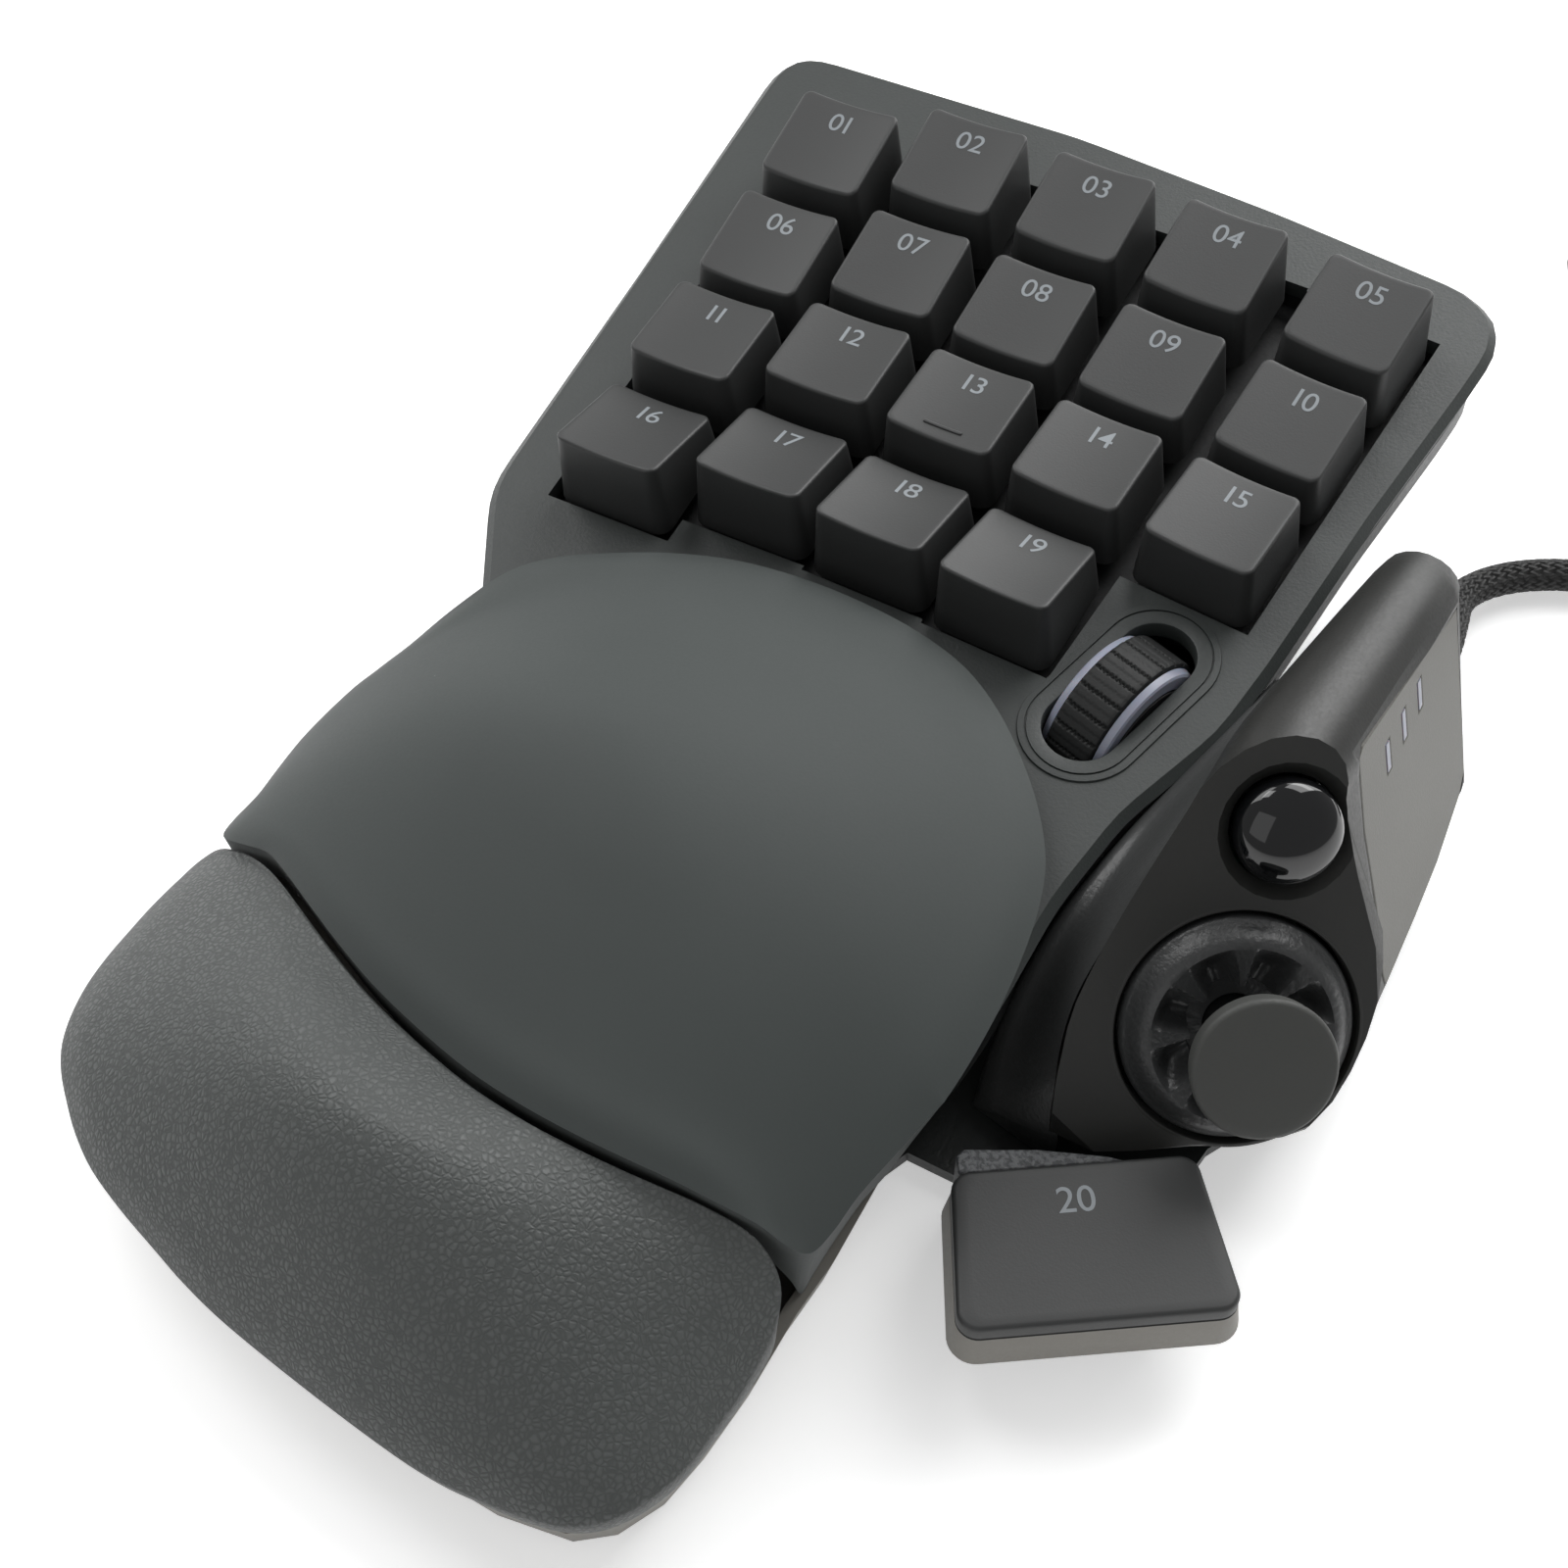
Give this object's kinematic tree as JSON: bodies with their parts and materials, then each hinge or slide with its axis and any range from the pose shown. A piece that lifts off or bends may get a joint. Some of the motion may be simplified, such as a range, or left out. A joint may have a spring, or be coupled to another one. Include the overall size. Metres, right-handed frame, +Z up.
{
  "type": "gaming keypad",
  "caption": "Left-hand keypad: a sloping deck of stepped keys with a scroll wheel, a thumb module with stick and button, and a domed palm rest with a wrist cushion.",
  "frame": {"origin": "on the desk under the middle of the keypad, its cord left out", "axes": "+X to the right of the user, to the thumb side; +Y away from the user; +Z up"},
  "size_m": [0.2483, 0.2982, 0.0564],
  "materials": {
    "key": "satin black caps",
    "shell": "fine-grained black",
    "housing": "fine-grained black",
    "inner": "plain black",
    "board": "green laminate",
    "palm": "soft-touch dark grey",
    "leather": "grained black leatherette over foam",
    "rubber": "matt black",
    "light": "milky, pale blue-grey",
    "gloss": "polished black",
    "metal": "satin",
    "plate": "satin mid grey",
    "cord": "black braid"
  },
  "bodies": {
    "base": {"base_plate": "housing", "rear_housing": "housing", "top_shell": "shell", "key_guide_plate": "inner", "main_circuit_board": "board", "wheel_bezel": "gloss", "wheel_bracket": "metal", "thumb_module_shell": "shell", "module_saddle": "shell", "thumb_side_plate": "plate", "mode_light_pipe": "light", "stick_sensor": "inner", "thumb_circuit_board": "board", "thumb_key_cradle": "inner", "foot_rear_left": "rubber", "foot_rear_right": "rubber", "foot_front_right": "rubber", "base_screw": "metal", "cord_strain_relief": "rubber", "cable_run": "cord", "cable_coil": "cord", "cable_tie": "rubber", "plug_body": "rubber", "plug_shell": "metal"},
    "key_01": {"keycap_01": "key"},
    "key_02": {"keycap_02": "key"},
    "key_03": {"keycap_03": "key"},
    "key_04": {"keycap_04": "key"},
    "key_05": {"keycap_05": "key"},
    "key_06": {"keycap_06": "key"},
    "key_07": {"keycap_07": "key"},
    "key_08": {"keycap_08": "key"},
    "key_09": {"keycap_09": "key"},
    "key_10": {"keycap_10": "key"},
    "key_11": {"keycap_11": "key"},
    "key_12": {"keycap_12": "key"},
    "key_13": {"keycap_13": "key"},
    "key_14": {"keycap_14": "key"},
    "key_15": {"keycap_15": "key"},
    "key_16": {"keycap_16": "key"},
    "key_17": {"keycap_17": "key"},
    "key_18": {"keycap_18": "key"},
    "key_19": {"keycap_19": "key"},
    "key_20": {"keycap_20": "key"},
    "scroll_wheel": {"wheel_tread": "rubber", "wheel_hub": "inner", "wheel_light_ring_left": "light", "wheel_light_ring_right": "light"},
    "side_button": {"thumb_button": "gloss"},
    "gimbal": {"gimbal_ring": "metal"},
    "stick": {"direction_pad": "inner", "stick_stem": "inner", "stick_cap": "rubber"},
    "palm_rest": {"palm_dome": "palm", "wrist_cushion": "leather", "palm_rest_tray": "plate", "slide_tongue_left": "metal", "slide_tongue_right": "metal", "foot_palm_left": "rubber", "foot_palm_right": "rubber"}
  },
  "joints": [
    {"name": "key_01_press", "type": "slide", "parent": "base", "child": "key_01", "axis": [0, 0.1219, -0.9925], "range_m": [0, 0.0035], "stiffness_N_per_m": 150, "springref_m": -0.001},
    {"name": "key_02_press", "type": "slide", "parent": "base", "child": "key_02", "axis": [0, 0.1219, -0.9925], "range_m": [0, 0.0035], "stiffness_N_per_m": 150, "springref_m": -0.001},
    {"name": "key_03_press", "type": "slide", "parent": "base", "child": "key_03", "axis": [0, 0.1219, -0.9925], "range_m": [0, 0.0035], "stiffness_N_per_m": 150, "springref_m": -0.001},
    {"name": "key_04_press", "type": "slide", "parent": "base", "child": "key_04", "axis": [0, 0.1219, -0.9925], "range_m": [0, 0.0035], "stiffness_N_per_m": 150, "springref_m": -0.001},
    {"name": "key_05_press", "type": "slide", "parent": "base", "child": "key_05", "axis": [0, 0.1219, -0.9925], "range_m": [0, 0.0035], "stiffness_N_per_m": 150, "springref_m": -0.001},
    {"name": "key_06_press", "type": "slide", "parent": "base", "child": "key_06", "axis": [0, 0.1219, -0.9925], "range_m": [0, 0.0035], "stiffness_N_per_m": 150, "springref_m": -0.001},
    {"name": "key_07_press", "type": "slide", "parent": "base", "child": "key_07", "axis": [0, 0.1219, -0.9925], "range_m": [0, 0.0035], "stiffness_N_per_m": 150, "springref_m": -0.001},
    {"name": "key_08_press", "type": "slide", "parent": "base", "child": "key_08", "axis": [0, 0.1219, -0.9925], "range_m": [0, 0.0035], "stiffness_N_per_m": 150, "springref_m": -0.001},
    {"name": "key_09_press", "type": "slide", "parent": "base", "child": "key_09", "axis": [0, 0.1219, -0.9925], "range_m": [0, 0.0035], "stiffness_N_per_m": 150, "springref_m": -0.001},
    {"name": "key_10_press", "type": "slide", "parent": "base", "child": "key_10", "axis": [0, 0.1219, -0.9925], "range_m": [0, 0.0035], "stiffness_N_per_m": 150, "springref_m": -0.001},
    {"name": "key_11_press", "type": "slide", "parent": "base", "child": "key_11", "axis": [0, 0.1219, -0.9925], "range_m": [0, 0.0035], "stiffness_N_per_m": 150, "springref_m": -0.001},
    {"name": "key_12_press", "type": "slide", "parent": "base", "child": "key_12", "axis": [0, 0.1219, -0.9925], "range_m": [0, 0.0035], "stiffness_N_per_m": 150, "springref_m": -0.001},
    {"name": "key_13_press", "type": "slide", "parent": "base", "child": "key_13", "axis": [0, 0.1219, -0.9925], "range_m": [0, 0.0035], "stiffness_N_per_m": 150, "springref_m": -0.001},
    {"name": "key_14_press", "type": "slide", "parent": "base", "child": "key_14", "axis": [0, 0.1219, -0.9925], "range_m": [0, 0.0035], "stiffness_N_per_m": 150, "springref_m": -0.001},
    {"name": "key_15_press", "type": "slide", "parent": "base", "child": "key_15", "axis": [0, 0.1219, -0.9925], "range_m": [0, 0.0035], "stiffness_N_per_m": 150, "springref_m": -0.001},
    {"name": "key_16_press", "type": "slide", "parent": "base", "child": "key_16", "axis": [0, 0.1219, -0.9925], "range_m": [0, 0.0035], "stiffness_N_per_m": 150, "springref_m": -0.001},
    {"name": "key_17_press", "type": "slide", "parent": "base", "child": "key_17", "axis": [0, 0.1219, -0.9925], "range_m": [0, 0.0035], "stiffness_N_per_m": 150, "springref_m": -0.001},
    {"name": "key_18_press", "type": "slide", "parent": "base", "child": "key_18", "axis": [0, 0.1219, -0.9925], "range_m": [0, 0.0035], "stiffness_N_per_m": 150, "springref_m": -0.001},
    {"name": "key_19_press", "type": "slide", "parent": "base", "child": "key_19", "axis": [0, 0.1219, -0.9925], "range_m": [0, 0.0035], "stiffness_N_per_m": 150, "springref_m": -0.001},
    {"name": "key_20_press", "type": "slide", "parent": "base", "child": "key_20", "axis": [0, 0, -1], "range_m": [0, 0.002], "stiffness_N_per_m": 250, "springref_m": -0.001},
    {"name": "side_button_press", "type": "slide", "parent": "base", "child": "side_button", "axis": [-0.4385, 0.6675, -0.6018], "range_m": [0, 0.0012], "stiffness_N_per_m": 400, "springref_m": -0.0005},
    {"name": "wheel_roll", "type": "hinge", "parent": "base", "child": "scroll_wheel", "pos_m": [0.0277, 0.01685, 0.03014], "axis": [0.9613, -0.2736, -0.0336], "continuous": true},
    {"name": "stick_tilt_side", "type": "hinge", "parent": "base", "child": "gimbal", "pos_m": [0.05597, -0.01186, 0.02195], "axis": [-0.1339, 0.6136, 0.7782], "range_deg": [-7.5, 7.5], "stiffness_Nm_per_rad": 0.05},
    {"name": "stick_tilt_front", "type": "hinge", "parent": "gimbal", "child": "stick", "pos_m": [0.05597, -0.01186, 0.02195], "axis": [0.8887, 0.4218, -0.1797], "range_deg": [-7.5, 7.5], "stiffness_Nm_per_rad": 0.05},
    {"name": "palm_rest_slide", "type": "slide", "parent": "base", "child": "palm_rest", "axis": [0, -1, 0], "range_m": [0, 0.012]}
  ]
}
